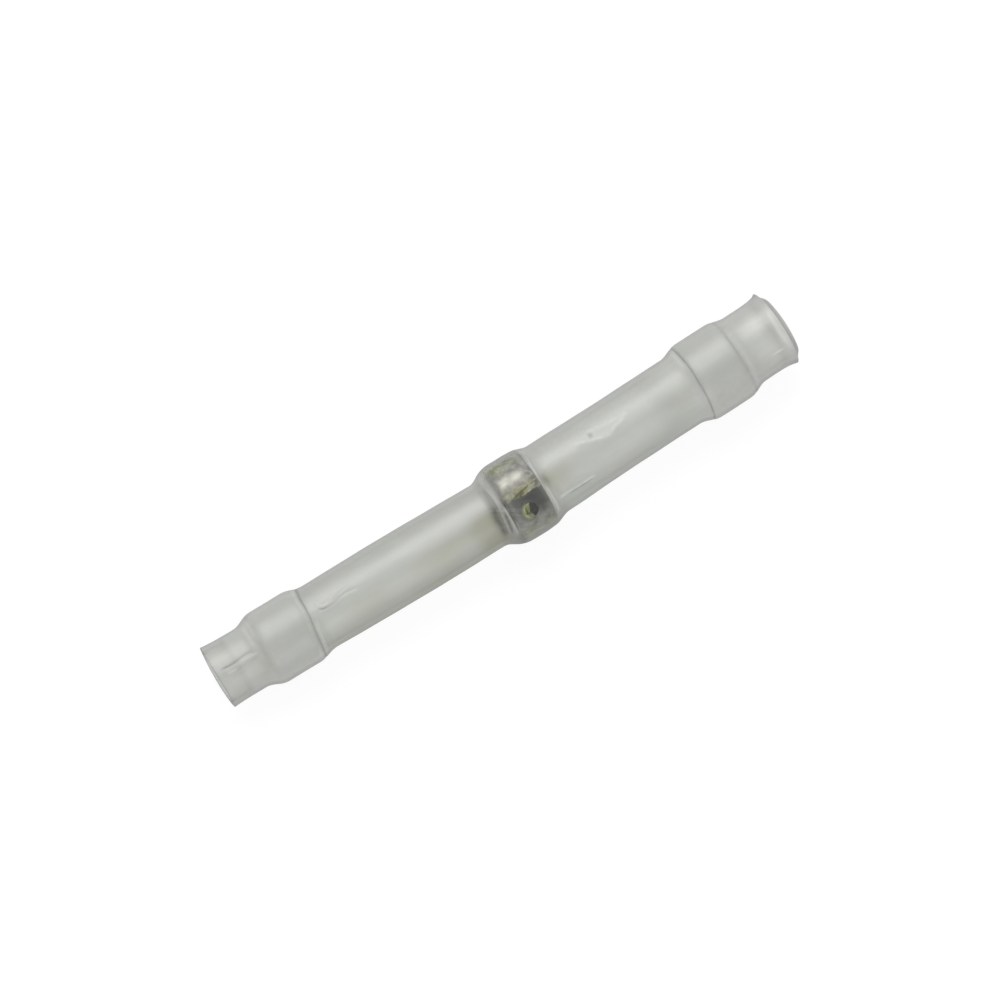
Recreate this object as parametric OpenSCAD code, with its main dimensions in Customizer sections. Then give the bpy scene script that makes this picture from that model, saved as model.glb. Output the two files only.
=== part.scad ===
// Solder sleeve: a heat-shrink tube drawn down over a solder ring and two sealing rings.
// It lies along X, +Z is up, and the origin is on the solder ring's axis, halfway between
// the two mouths. Millimetres. The tube wall has one thickness and climbs over each ring on
// an eased shoulder. The tube is slightly bent at the solder ring, so it has two arms, and
// each arm droops until the bulge over its sealing ring touches the table.

/* [Sleeve tube] */
// Length of the tube from mouth to mouth
sleeve_len = 42; // [40:0.5:60]
// Thickness of the tube wall
sleeve_wall = 0.25; // [0.2:0.01:0.32]
// Outer diameter of the tube between the left mouth and the left ring
left_end_d = 4.15; // [4.1:0.01:4.5]
// Outer diameter of the left neck at its middle
left_neck_d = 4.5; // [4.3:0.01:4.8]
// Outer diameter of the right neck at its waist
right_neck_d = 4.7; // [4.5:0.01:5]
// Outer diameter of the tube between the right ring and the right mouth
right_end_d = 4.76; // [4.7:0.01:5.1]

/* [Shoulders and necks] */
// Length over which the wall climbs onto a ring
shoulder_run = 1.4; // [1:0.05:2]
// Distance from the edge of a ring out to the middle of its shoulder
shoulder_lead = 0.25; // [0.2:0.01:0.45]
// Radius that the left neck gains from its feet to its middle
left_neck_crown = 0.065; // [0.02:0.005:0.12]
// Radius that the right neck still loses after the solder ring's shoulder
right_neck_taper = 0.07; // [0.02:0.005:0.12]
// Length of that taper
right_taper_run = 5; // [3:0.25:8]

/* [Bend] */
// Angle by which each arm turns back from the solder ring, in degrees
arm_bow = 1.2; // [0.6:0.1:2]
// Length of the rounded knuckle to each side of the bend
knuckle_run = 0.35; // [0.3:0.05:0.5]

/* [Sealing rings] */
// Outer diameter of the left sealing ring
left_ring_d = 4.4; // [4.3:0.01:4.7]
// Length of the left sealing ring along the tube
left_ring_w = 3.25; // [2.5:0.05:4]
// Distance from the left mouth to the left sealing ring
left_ring_inset = 3.3; // [3:0.05:4.5]
// Outer diameter of the right sealing ring
right_ring_d = 4.87; // [4.75:0.01:5.1]
// Length of the right sealing ring along the tube
right_ring_w = 3.1; // [2.5:0.05:4]
// Distance from the right mouth to the right sealing ring
right_ring_inset = 3.65; // [3.2:0.05:4.5]
// Radial thickness of both sealing rings
seal_wall = 0.4; // [0.4:0.01:0.55]

/* [Solder ring] */
// Outer diameter of the solder ring
solder_d = 4.93; // [4.85:0.005:5.3]
// Length of the solder ring along the tube
solder_w = 2.7; // [2.2:0.05:4]
// Radial thickness of the solder ring
solder_wall = 0.42; // [0.35:0.01:0.5]
// Distance of the solder ring's middle from the middle of the tube
solder_shift = 1.05; // [-2:0.05:2]
// Diameter of the round sight hole in the solder ring
sight_hole_d = 1.05; // [0.6:0.05:1.5]
// Turn of the sight hole from the top towards the front
sight_hole_turn = 41; // [0:1:90]

/* [Flux lining] */
// Thickness of the flux film inside the solder ring
flux_film = 0.08; // [0.05:0.01:0.12]
// Length of the flux film along the tube
flux_w = 1.2; // [0.8:0.05:1.8]
// Distance from the solder ring's left edge to the flux film
flux_inset = 0.15; // [0.1:0.01:0.3]

/* [Mouths] */
// Radius that the left mouth opens out
left_flare = 0.07; // [0.02:0.01:0.15]
// Length of the left mouth's flare
left_flare_len = 1.6; // [1:0.1:2]
// Radius that the right mouth opens out
right_flare = 0.1; // [0.02:0.01:0.15]
// Length of the right mouth's flare
right_flare_len = 2; // [1.2:0.1:2.2]
// Height of the cut bead that stands round the right mouth
bead_height = 0.11; // [0.05:0.01:0.15]
// Length over which the bead rises
bead_run = 0.9; // [0.5:0.05:1]
// Distance from the right mouth back to the crest of the bead
bead_setback = 0.34; // [0.2:0.01:0.5]
// Thickness of the cut edge at the right mouth
mouth_edge = 0.13; // [0.08:0.01:0.18]

/* [Clearances] */
// Radial clearance between the tube wall and each sealing ring
seat_gap = 0.03; // [0.02:0.005:0.05]
// Radial clearance between the tube wall and the solder ring, which lies straight in the bend
bend_gap = 0.06; // [0.05:0.005:0.08]
// Radial clearance between the solder ring and its flux film
film_gap = 0.02; // [0.02:0.005:0.04]

/* [Hidden] */
$fn = 96;
shoulder_steps = 10;
neck_steps = 10;
mouth_steps = 6;
slope_reach = 0.01;
mouth_reach = 1;
half_len = sleeve_len / 2;
left_end_r = left_end_d / 2;
left_neck_r = left_neck_d / 2 - left_neck_crown;
right_neck_r = right_neck_d / 2;
right_end_r = right_end_d / 2;
left_bulge_r = left_ring_d / 2 + seat_gap + sleeve_wall;
right_bulge_r = right_ring_d / 2 + seat_gap + sleeve_wall;
solder_bulge_r = solder_d / 2 + bend_gap + sleeve_wall;
left_ring_x = left_ring_inset - half_len;
right_ring_x = half_len - right_ring_inset - right_ring_w;
solder_x = solder_shift - solder_w / 2;
solder_bore_r = solder_d / 2 - solder_wall;
flux_r = solder_bore_r - film_gap;
bead_x = half_len - bead_setback;

// Middles of the six shoulders, from left to right
shoulders = [
    left_ring_x - shoulder_lead,
    left_ring_x + left_ring_w + shoulder_lead,
    solder_x - shoulder_lead,
    solder_x + solder_w + shoulder_lead,
    right_ring_x - shoulder_lead,
    right_ring_x + right_ring_w + shoulder_lead
];
left_neck_from = shoulders[1] + shoulder_run / 2;
left_neck_to = shoulders[2] - shoulder_run / 2;
right_neck_from = shoulders[3] + shoulder_run / 2;
right_neck_to = shoulders[4] - shoulder_run / 2;
taper_mid = right_neck_from + right_taper_run / 2;

// Radius of the knuckle, and the lengths from it out to the far edge of each end bulge's crown
knuckle_r = sqrt(pow(solder_bulge_r, 2) + pow(knuckle_run, 2));
left_span = solder_shift - shoulders[0] - shoulder_run / 2;
right_span = shoulders[5] - shoulder_run / 2 - solder_shift;

// Angles by which the arms droop, so that the end bulges and the knuckle touch one table
left_droop = asin((knuckle_r - left_bulge_r) / left_span);
right_droop = asin((knuckle_r - right_bulge_r) / right_span);

// Share of a span that lies before x, held between 0 and 1
function share(x, from, run) = max(0, min(1, (x - from) / run));

// Rise of a smooth shoulder of the given run, with its middle at mid
function climb(x, mid, run, rise) =
    rise * (1 - cos(180 * share(x, mid - run / 2, run))) / 2;

// Swell of a neck that is fullest halfway along it
function swell(x, from, to, rise) = rise * sin(180 * share(x, from, to - from));

// Outer radius of the tube at x, without the bead
function tube_r(x) =
    left_end_r
    + climb(x, shoulders[0], shoulder_run, left_bulge_r - left_end_r)
    + climb(x, shoulders[1], shoulder_run, left_neck_r - left_bulge_r)
    + swell(x, left_neck_from, left_neck_to, left_neck_crown)
    + climb(x, shoulders[2], shoulder_run, solder_bulge_r - left_neck_r)
    + climb(x, shoulders[3], shoulder_run, right_neck_r + right_neck_taper - solder_bulge_r)
    + climb(x, taper_mid, right_taper_run, -right_neck_taper)
    + climb(x, shoulders[4], shoulder_run, right_bulge_r - right_neck_r)
    + climb(x, shoulders[5], shoulder_run, right_end_r - right_bulge_r)
    + left_flare * pow(share(-x, half_len - left_flare_len, left_flare_len), 2)
    + right_flare * pow(share(x, half_len - right_flare_len, right_flare_len), 2);

// Outer radius with the bead that the hot cut leaves, and its fall to the cut edge
function skin_r(x) =
    x <= bead_x
    ? tube_r(x) + bead_height * pow(share(x, bead_x - bead_run, bead_run), 2)
    : let (crest = skin_r(bead_x))
        crest + (bore_r(half_len) + mouth_edge - crest) * share(x, bead_x, bead_setback);

// Slope of the tube's outside at x
function slope(x) = (tube_r(x + slope_reach) - tube_r(x - slope_reach)) / (2 * slope_reach);

// Inner radius of the tube, one wall thickness below the outside measured square to it
function bore_r(x) = tube_r(x) - sleeve_wall * sqrt(1 + pow(slope(x), 2));

// Even stations from one place to another, without the last
function stations(from, to, steps) = [for (i = [0:steps - 1]) from + (to - from) * i / steps];

// Stations over the shoulder with the given number, from its foot to its head
function shoulder_stations(i) = [
    for (k = [0:shoulder_steps])
        shoulders[i] + shoulder_run * (k / shoulder_steps - 0.5)
];

// Stations along the left arm, from its mouth to the bend
left_x = concat(
    stations(-half_len, left_flare_len - half_len, mouth_steps),
    [left_flare_len - half_len],
    shoulder_stations(0),
    shoulder_stations(1),
    stations(left_neck_from, left_neck_to, neck_steps),
    shoulder_stations(2),
    [solder_shift]
);

// Stations along the right arm, from the bend to the start of its flare
right_x = concat(
    [solder_shift],
    shoulder_stations(3),
    stations(right_neck_from, right_neck_from + right_taper_run, neck_steps),
    [right_neck_from + right_taper_run],
    shoulder_stations(4),
    shoulder_stations(5)
);
bead_stations = concat(stations(bead_x - bead_run, bead_x, mouth_steps), [bead_x, half_len]);
flare_stations = concat(
    stations(half_len - right_flare_len, half_len, mouth_steps),
    [half_len]
);

// Turns a profile of [radius, x] points round the tube's axis
module turned(profile) {
    rotate([0, 90, 0])
        rotate_extrude()
            polygon(profile);
}

// Solid spindle under a line of [radius, x] points
module spindle(line) {
    last = len(line) - 1;
    turned(concat([[0, line[0].y]], line, [[0, line[last].y]]));
}

// Ring of the given length whose outside follows the tube's bore at the given clearance
module seated_ring(from, width, inner_r, gap) {
    run = stations(from, from + width, 2 * shoulder_steps);
    turned(concat(
        [for (x = run) [bore_r(x) - gap, x]],
        [[bore_r(from + width) - gap, from + width]],
        [[inner_r, from + width]],
        [[inner_r, from]]
    ));
}

// Puts what is modelled along X on the left arm, turned about the bend
module on_left_arm() {
    translate([solder_shift, 0, 0])
        rotate([0, -left_droop, -arm_bow])
            translate([-solder_shift, 0, 0])
                children();
}

// Puts what is modelled along X on the right arm, turned about the bend
module on_right_arm() {
    translate([solder_shift, 0, 0])
        rotate([0, right_droop, arm_bow])
            translate([-solder_shift, 0, 0])
                children();
}

// Solid on both arms under the given lines, joined by a ball that rounds off the bend
module bent(left_line, right_line, crown_r) {
    on_left_arm()
        spindle(left_line);
    on_right_arm()
        spindle(right_line);
    translate([solder_shift, 0, 0])
        rotate([0, -90, 0])
            sphere(r = sqrt(pow(crown_r, 2) + pow(knuckle_run, 2)));
}

// One drawn tube: necks, bulges over the three rings, flared mouths and the cut bead
module heat_shrink_sleeve() {
    color([0.84, 0.85, 0.82, 0.55])
        difference() {
            bent(
                [for (x = left_x) [skin_r(x), x]],
                [for (x = concat(right_x, bead_stations)) [skin_r(x), x]],
                solder_bulge_r
            );
            bent(
                concat(
                    [[bore_r(-half_len), -half_len - mouth_reach]],
                    [for (x = left_x) [bore_r(x), x]]
                ),
                concat(
                    [for (x = concat(right_x, flare_stations)) [bore_r(x), x]],
                    [[bore_r(half_len), half_len + mouth_reach]]
                ),
                solder_bulge_r - sleeve_wall
            );
        }
}

// Fusible ring that melts round the wire's insulation at the left end
module sealing_ring_left() {
    color([0.86, 0.88, 0.83])
        on_left_arm()
            seated_ring(left_ring_x, left_ring_w, left_ring_d / 2 - seal_wall, seat_gap);
}

// Fusible ring that melts round the wire's insulation at the right end
module sealing_ring_right() {
    color([0.86, 0.88, 0.83])
        on_right_arm()
            seated_ring(right_ring_x, right_ring_w, right_ring_d / 2 - seal_wall, seat_gap);
}

// Ring of solder with its sight hole
module solder_ring() {
    color([0.56, 0.56, 0.54])
        difference() {
            seated_ring(solder_x, solder_w, solder_bore_r, bend_gap);
            rotate([sight_hole_turn, 0, 0])
                translate([solder_shift, 0, solder_bore_r / 2])
                    cylinder(d = sight_hole_d, h = solder_d);
        }
}

// Film of flux inside the left part of the solder ring, seen through the sight hole
module flux_lining() {
    from = solder_x + flux_inset;
    color([0.66, 0.66, 0.3])
        turned([
            [flux_r, from],
            [flux_r, from + flux_w],
            [flux_r - flux_film, from + flux_w],
            [flux_r - flux_film, from]
        ]);
}

heat_shrink_sleeve();
sealing_ring_left();
sealing_ring_right();
solder_ring();
flux_lining();
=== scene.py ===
import math

import bmesh
import bpy
import numpy as np
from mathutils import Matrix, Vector


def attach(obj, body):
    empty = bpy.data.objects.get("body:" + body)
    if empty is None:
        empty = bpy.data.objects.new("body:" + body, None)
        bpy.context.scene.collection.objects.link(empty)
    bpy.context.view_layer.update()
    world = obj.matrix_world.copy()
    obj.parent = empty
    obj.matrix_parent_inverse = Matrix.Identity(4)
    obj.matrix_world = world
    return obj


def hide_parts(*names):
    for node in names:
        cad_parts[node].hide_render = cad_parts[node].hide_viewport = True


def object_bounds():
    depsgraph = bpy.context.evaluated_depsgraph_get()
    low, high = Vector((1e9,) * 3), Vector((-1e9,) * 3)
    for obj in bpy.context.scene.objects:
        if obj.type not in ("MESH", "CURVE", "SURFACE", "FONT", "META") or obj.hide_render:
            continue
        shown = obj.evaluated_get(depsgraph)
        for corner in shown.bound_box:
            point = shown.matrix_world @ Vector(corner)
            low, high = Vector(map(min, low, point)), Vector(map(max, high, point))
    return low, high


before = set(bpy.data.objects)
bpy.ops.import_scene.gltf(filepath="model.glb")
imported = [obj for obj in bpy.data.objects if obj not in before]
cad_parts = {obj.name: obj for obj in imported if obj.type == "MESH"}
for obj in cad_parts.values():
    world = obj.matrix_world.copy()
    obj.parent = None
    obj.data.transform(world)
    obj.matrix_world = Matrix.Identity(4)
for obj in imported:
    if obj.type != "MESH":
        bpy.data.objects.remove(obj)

cad_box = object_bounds()


# Camera: it stands upright and looks steeply down on the sleeve from the front left, through a
# long lens, with the sleeve's origin near the middle of a square picture.
CAMERA_WAY = Vector((-0.1210, -0.1895, 0.9740)).normalized()
CAMERA_DISTANCE = 0.369
LENS_MM = 212.0
SENSOR_MM = 36.0
CLIP_NEAR = 0.01
CLIP_FAR = 10
FRAME_PX = 1000
ORIGIN_PX = (504.1, 506.25)

camera_data = bpy.data.cameras.new("camera")
camera_data.lens = LENS_MM
camera_data.sensor_width = SENSOR_MM
camera_data.clip_start = CLIP_NEAR
camera_data.clip_end = CLIP_FAR
camera = bpy.data.objects.new("camera", camera_data)
bpy.context.scene.collection.objects.link(camera)
camera.rotation_euler = (-CAMERA_WAY).to_track_quat("-Z", "Y").to_euler()
metres_per_px = CAMERA_DISTANCE * SENSOR_MM / LENS_MM / FRAME_PX
camera_right = camera.rotation_euler.to_matrix() @ Vector((1, 0, 0))
camera_up = camera.rotation_euler.to_matrix() @ Vector((0, 1, 0))
camera.location = (
    CAMERA_WAY * CAMERA_DISTANCE
    + camera_right * (FRAME_PX / 2 - ORIGIN_PX[0]) * metres_per_px
    + camera_up * (ORIGIN_PX[1] - FRAME_PX / 2) * metres_per_px
)
bpy.context.scene.camera = camera


# Heat-shrink sleeve: one tube of clear, faintly hazy cross-linked plastic with a wall of 0.25 mm,
# cut to length and drawn down in heat over the three rings. It is slightly bent at the solder
# ring. The hot cut left a bead round the right mouth, and handling left creases and a dent.
MM = 0.001
HALF_LEN = 21.0
WALL = 0.25
LEFT_END_R = 2.075
LEFT_BULGE_R = 2.48
LEFT_NECK_R = 2.185
SOLDER_BULGE_R = 2.76
RIGHT_NECK_R = 2.35
RIGHT_BULGE_R = 2.715
RIGHT_END_R = 2.38

# Middles of the six shoulders, where the wall climbs on and off a ring, and their length
SHOULDERS = (-17.88, -14.2, -0.55, 2.65, 14.0, 17.6)
SHOULDER_RUN = 1.4

# Place, half width and drop of the two rounded brinks of the bulge over the solder ring
BULGE_BRINKS = ((-0.08, 0.30, 0.050), (2.0, 0.32, 0.030))

NECK_CROWN = 0.065
NECK_TAPER = 0.07
TAPER_RUN = 5.0
LEFT_FLARE, LEFT_FLARE_LEN = 0.07, 1.6
RIGHT_FLARE, RIGHT_FLARE_LEN = 0.10, 2.0
BEAD_HEIGHT, BEAD_RUN, BEAD_X = 0.09, 0.9, 20.65
MOUTH_EDGE = 0.13
LIP_ROLL = 0.33
LIP_CURVE = 0.75
LIP_TRIM, LIP_BOW, LIP_BOW_RUN = 0.02, 0.08, 1.0
LIP_WAVE, LIP_WAVES, LIP_WAVE_PHASE, LIP_WAVE_RUN = 0.012, 7, 0.4, 0.5

# Bent light spreads a ring over nearly the whole wall: the wall then seen outside it, and the
# start, its run, the end and its run of each such stretch
SEEN_WALL = 0.045
RING_SPANS = ((-18.7, 1.2, -14.2, 0.3), (-0.75, 0.3, 2.7, 0.3), (14.0, 0.3, 18.4, 1.2))

BEND_X, BEND_RUN = 1.05, 0.45
BOW = math.radians(1.2)
LEFT_DROOP, RIGHT_DROOP = math.radians(0.9925), math.radians(0.2964)
END_SHIFT, END_SHIFT_X, END_SHIFT_RUN = 0.06, 17.8, 1.0
AXIS_POINTS = 8801
SLOPE_STEP = 0.01
CREASE_SOFT, FOLD_SOFT, HOOP_SOFT = 0.35, 0.3, 10


def share(x, start, run):
    """Share of a span that lies before x, held between 0 and 1."""
    return np.clip((x - start) / run, 0.0, 1.0)


def climb(x, mid, run, rise):
    """Rise of a smooth shoulder of the given run, with its middle at mid."""
    return rise * (1 - np.cos(np.pi * share(x, mid - run / 2, run))) / 2


def window(x, start, end, soft):
    """1 between two places and 0 outside them, with soft ends of the given length."""
    return climb(x, start, soft, 1.0) - climb(x, end, soft, 1.0)


def sector(turn, start, end, soft):
    """1 between two angles from the top, in degrees, and 0 outside them, with soft ends."""
    return window(np.degrees(turn), start, end, soft)


def ridge(x, at, half):
    """1 on a line round the tube at a place, falling to 0 over the given half width in mm."""
    return np.exp(-((x - at) / half) ** 2)


def tube_r(x):
    """Outer radius of the tube at x, without the bead at the right mouth."""
    s, run = SHOULDERS, SHOULDER_RUN
    neck_from, neck_to = s[1] + run / 2, s[2] - run / 2
    taper_mid = s[3] + run / 2 + TAPER_RUN / 2
    return (
        LEFT_END_R
        + climb(x, s[0], run, LEFT_BULGE_R - LEFT_END_R)
        + climb(x, s[1], run, LEFT_NECK_R - LEFT_BULGE_R)
        + NECK_CROWN * np.sin(np.pi * share(x, neck_from, neck_to - neck_from))
        + climb(x, s[2], run, SOLDER_BULGE_R - LEFT_NECK_R)
        + climb(x, s[3], run, RIGHT_NECK_R + NECK_TAPER - SOLDER_BULGE_R)
        + climb(x, taper_mid, TAPER_RUN, -NECK_TAPER)
        + climb(x, s[4], run, RIGHT_BULGE_R - RIGHT_NECK_R)
        + climb(x, s[5], run, RIGHT_END_R - RIGHT_BULGE_R)
        + LEFT_FLARE * share(-x, HALF_LEN - LEFT_FLARE_LEN, LEFT_FLARE_LEN) ** 2
        + RIGHT_FLARE * share(x, HALF_LEN - RIGHT_FLARE_LEN, RIGHT_FLARE_LEN) ** 2
        - sum(drop * ridge(x, at, half) for at, half, drop in BULGE_BRINKS)
    )


def bore_r(x):
    """Inner radius of the tube, one wall thickness below the outside measured square to it."""
    slope = (tube_r(x + SLOPE_STEP) - tube_r(x - SLOPE_STEP)) / (2 * SLOPE_STEP)
    return tube_r(x) - WALL * np.sqrt(1 + slope ** 2)


def seen_bore_r(x):
    """Inner radius as the eye takes it, close under the outside wherever a ring lies."""
    over = np.zeros_like(x)
    for start, start_run, end, end_run in RING_SPANS:
        over = np.maximum(over, climb(x, start, start_run, 1.0) - climb(x, end, end_run, 1.0))
    rolled = LIP_ROLL * share(x, BEAD_X, HALF_LEN - BEAD_X)
    return bore_r(x) + (tube_r(x) - SEEN_WALL - bore_r(x)) * over - rolled


def skin_r(x):
    """Outer radius with the bead of the hot cut and the lip that it rolled in."""
    crest = tube_r(BEAD_X) + BEAD_HEIGHT
    lip = bore_r(np.float64(HALF_LEN)) + MOUTH_EDGE - LIP_ROLL
    before = tube_r(x) + BEAD_HEIGHT * share(x, BEAD_X - BEAD_RUN, BEAD_RUN) ** 2
    fall = share(x, BEAD_X, HALF_LEN - BEAD_X)
    return np.where(x <= BEAD_X, before, crest + (lip - crest) * fall ** LIP_CURVE)


def bend(x, turn, r):
    """Points in mm at x along the bent axis, at an angle from the top towards the front, r out."""
    grid = np.linspace(-HALF_LEN - 1, HALF_LEN + 1, AXIS_POINTS)
    along = share(grid, BEND_X - BEND_RUN, 2 * BEND_RUN)
    along = along * along * (3 - 2 * along)
    yaw = BOW * (2 * along - 1)
    pitch = RIGHT_DROOP * along - LEFT_DROOP * (1 - along)
    way = np.stack([np.cos(pitch) * np.cos(yaw), np.cos(pitch) * np.sin(yaw), -np.sin(pitch)], 1)
    steps = np.diff(grid, prepend=grid[0])[:, None]
    line = np.cumsum(way * steps, 0)
    at_bend = np.array([np.interp(BEND_X, grid, line[:, k]) for k in range(3)])
    line = line - at_bend + np.array([BEND_X, 0, 0])
    here = np.stack([np.interp(x, grid, line[:, k]) for k in range(3)], -1)
    here[..., 1] += climb(x, END_SHIFT_X, END_SHIFT_RUN, END_SHIFT)
    short = LIP_TRIM + LIP_BOW * np.sin(turn) ** 2
    here[..., 0] += short * share(-x, HALF_LEN - LIP_BOW_RUN, LIP_BOW_RUN)
    a = np.interp(x, grid, yaw)
    b = np.interp(x, grid, pitch)
    side = np.stack([np.sin(a), -np.cos(a), 0 * a], -1)
    up = np.stack([np.sin(b) * np.cos(a), np.sin(b) * np.sin(a), np.cos(b)], -1)
    return here + r[..., None] * (np.cos(turn)[..., None] * up + np.sin(turn)[..., None] * side)


def bump_at(x, turn, at_x, at_degrees, half_len, half_width):
    """1 at a spot on the tube, falling to 0 over the given half length and half width in mm."""
    u = (x - at_x) / half_len
    v = (turn - math.radians(at_degrees)) * tube_r(x) / half_width
    return np.exp(-u ** 2 - v ** 2)


def crease(x, turn, start, end, degrees, sway, half_width):
    """1 along a swaying line that runs along the tube, falling to 0 beside it and at its ends."""
    wave, pitch, phase = sway
    line = np.radians(degrees + wave * np.sin(pitch * x + phase))
    v = (turn - line) * tube_r(x) / half_width
    return window(x, start, end, CREASE_SOFT) * np.exp(-v ** 2)


def fold(x, turn, path, half_width):
    """1 along a line through (place, degrees from the top) points, falling to 0 beside it."""
    places, degrees = zip(*path)
    v = (turn - np.radians(np.interp(x, places, degrees))) * tube_r(x) / half_width
    return window(x, places[0], places[-1], FOLD_SOFT) * np.exp(-v ** 2)


def hoop(x, turn, path, half_width):
    """1 along a line round the tube through (degrees from the top, place) points."""
    degrees, places = zip(*path)
    here = np.degrees(turn)
    ends = window(here, degrees[0], degrees[-1], HOOP_SOFT)
    return ends * ridge(x, np.interp(here, degrees, places), half_width)


# Creases along the tube: from, to, degrees from the top, sway (degrees, per mm, phase), half
# width, height, darkness: painted shade along it, and a painted highlight where below 0
CREASES = (
    (-20.45, -18.30, 3.5, (1.2, 2.6, 53.2), 0.085, -0.022, 0.44),
    (-20.40, -18.15, 9.5, (0.8, 2.6, 53.2), 0.075, 0.010, -0.20),
    (-19.70, -18.20, 15.5, (1.2, 2.2, 44.0), 0.080, -0.018, 0.35),
    (-20.30, -19.60, 15.0, (0.8, 3.0, 60.0), 0.070, 0.010, -0.30),
    (-13.45, -10.85, 2.4, (-3.0, 2.4, 29.04), 0.095, -0.020, 0.38),
    (-13.30, -12.40, -1.5, (-2.0, 2.4, 29.04), 0.110, 0.014, -0.28),
    (-11.80, -10.80, 4.6, (-1.5, 2.4, 29.04), 0.100, 0.010, -0.16),
    (3.75, 5.40, 51.0, (0.5, 1.6, 0.0), 0.075, -0.026, 0.60),
    (3.05, 5.60, 47.0, (0.6, 1.3, 1.0), 0.100, 0.014, -0.32),
    (3.10, 4.60, 44.0, (0.5, 1.5, 0.5), 0.070, -0.010, 0.22),
)

# Folds of the right neck's dimple and of the left neck's hook: points (place, degrees from the
# top), then half width, height, darkness: painted shade, and a painted highlight where below 0
DIMPLE_EDGE = (
    (5.6, -9.0), (6.4, -3.0), (7.0, 3.0), (7.5, 6.5), (7.9, 5.5), (8.4, 0.0), (9.0, -3.0),
)
DIMPLE_CREST = ((6.7, -17.0), (7.3, -14.0), (7.9, -11.0), (8.6, -9.0), (9.4, -8.0))
HOOK = (
    (-13.65, -15.0), (-13.50, -3.0), (-13.20, 4.0), (-12.60, 1.0), (-11.90, -6.0), (-11.2, -8.5),
)
INNER_HOOK = ((-13.40, -14.0), (-13.22, -5.0), (-12.95, -2.5), (-12.45, -6.0), (-11.9, -12.0))
FOLDS = (
    (DIMPLE_EDGE, 0.13, 0.020, -0.22),
    (DIMPLE_CREST, 0.14, 0.010, -0.12),
    (HOOK, 0.085, -0.016, 0.32),
    (INNER_HOOK, 0.075, -0.010, 0.22),
)

# Folds round the tube at the shoulders: points (degrees from the top, place), then as above
HOOPS = (
    (((-34, -0.80), (-14, -0.86), (4, -0.94), (22, -1.02), (58, -1.00)), 0.230, -0.016, 0.38),
    (((-32, -0.74), (-12, -0.74), (6, -0.80), (16, -0.84)), 0.160, 0.000, 0.12),
    (((-28, -0.62), (-5, -0.545), (8, -0.56), (25, -0.65), (56, -0.71)), 0.045, 0.014, -0.36),
    (((-18, -0.43), (10, -0.47)), 0.030, 0.006, -0.24),
    (((12, -0.31), (35, -0.30), (60, -0.31)), 0.040, 0.010, -0.36),
    (((20, -0.44), (54, -0.55)), 0.065, -0.006, 0.42),
    (((10, -0.22), (30, -0.20), (52, -0.18)), 0.050, -0.010, 0.42),
    (((28, -0.13), (56, -0.08)), 0.040, 0.008, -0.22),
    (((-36, 2.72), (-14, 2.64), (4, 2.55)), 0.040, -0.008, 0.26),
    (((-34, 2.60), (-16, 2.53), (3, 2.48)), 0.035, 0.008, -0.32),
    (((-26, 2.49), (4, 2.42)), 0.030, 0.004, -0.20),
    (((18, 2.53), (26, 2.57), (50, 2.60), (62, 2.55)), 0.065, 0.010, -0.30),
    (((8, 2.23), (44, 2.22)), 0.055, -0.008, 0.34),
    (((-68, -17.62), (-40, -17.46), (-20, -17.38), (-4, -17.38)), 0.060, -0.012, 0.30),
    (((30, -17.52), (70, -17.42)), 0.100, -0.006, 0.07),
)

# Dimple with its pit, and the burr and dents by the right mouth: height, place, degrees from the
# top, half length, half width
DENTS = (
    (-0.050, 6.72, -9.5, 0.12, 0.22),
    (-0.024, 7.45, -6.5, 0.60, 0.34),
    (0.070, 20.62, -76.0, 0.10, 0.40),
    (-0.040, 19.7, 75.0, 0.45, 0.3),
    (-0.012, 19.6, 43.0, 0.35, 0.08),
)

# The tube's own unevenness: height, waves per radian round it and per mm along it, phase
RIPPLES = ((0.006, 3, 0.55, 0), (0.005, 5, -0.9, 1.3), (0.0035, 11, 0.35, 0.7), (0.003, 2, 2.3, 0))


def left_edge(turn):
    """Place in mm of the left sealing ring's inner edge, which was cut a little askew."""
    bow = 0.08 * np.exp(-((np.degrees(turn) + 4) / 18) ** 2)
    return -14.20 - 0.24 * np.sin(turn) + bow


def right_edge(turn):
    """Place in mm of the right sealing ring's inner edge, which is nearly square."""
    return 14.22 - 0.05 * np.sin(turn)


def outer_edge(turn):
    """Place in mm of the right sealing ring's outer edge, which is square."""
    return 17.34 + 0 * turn


# Edges that show through the wall: the nip's half width and height, the line's half width and
# darkness; the line is painted shade along the ring's edge
RING_EDGES = (
    (left_edge, 0.08, -0.022, 0.060, 0.64),
    (right_edge, 0.08, -0.018, 0.060, 0.62),
    (outer_edge, 0.09, -0.012, 0.085, 0.30),
)

# Painted light strips beside those edges: strength, edge, distance from it, half width, sector
EDGE_LIGHT_STRIPS = (
    (0.32, left_edge, -0.24, 0.13, (-70, -4, 16)),
    (0.12, left_edge, -0.24, 0.13, (-4, 80, 16)),
    (0.28, left_edge, 0.21, 0.12, (16, 76, 18)),
    (0.20, right_edge, -0.26, 0.16, (-64, -16, 14)),
)


def marks(x, turn):
    """Height in mm that creases, dents and draw lines add to the tube's skin."""
    out = np.zeros_like(x + turn)
    for start, end, degrees, sway, half_width, height, _ in CREASES:
        out += height * crease(x, turn, start, end, degrees, sway, half_width)
    for path, half_width, height, _ in FOLDS:
        out += height * fold(x, turn, path, half_width)
    for height, *dent in DENTS:
        out += height * bump_at(x, turn, *dent)
    for height, waves_round, waves_along, phase in RIPPLES:
        out += height * np.sin(waves_round * turn + waves_along * x + phase)
    return out


def nips(x, turn):
    """Height in mm of the nips that the wall makes at the edges of the rings under it."""
    out = np.zeros_like(x + turn)
    for edge, half_width, height, _, _ in RING_EDGES:
        out += height * ridge(x, edge(turn), half_width)
    for path, half_width, height, _ in HOOPS:
        out += height * hoop(x, turn, path, half_width)
    return out


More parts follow.
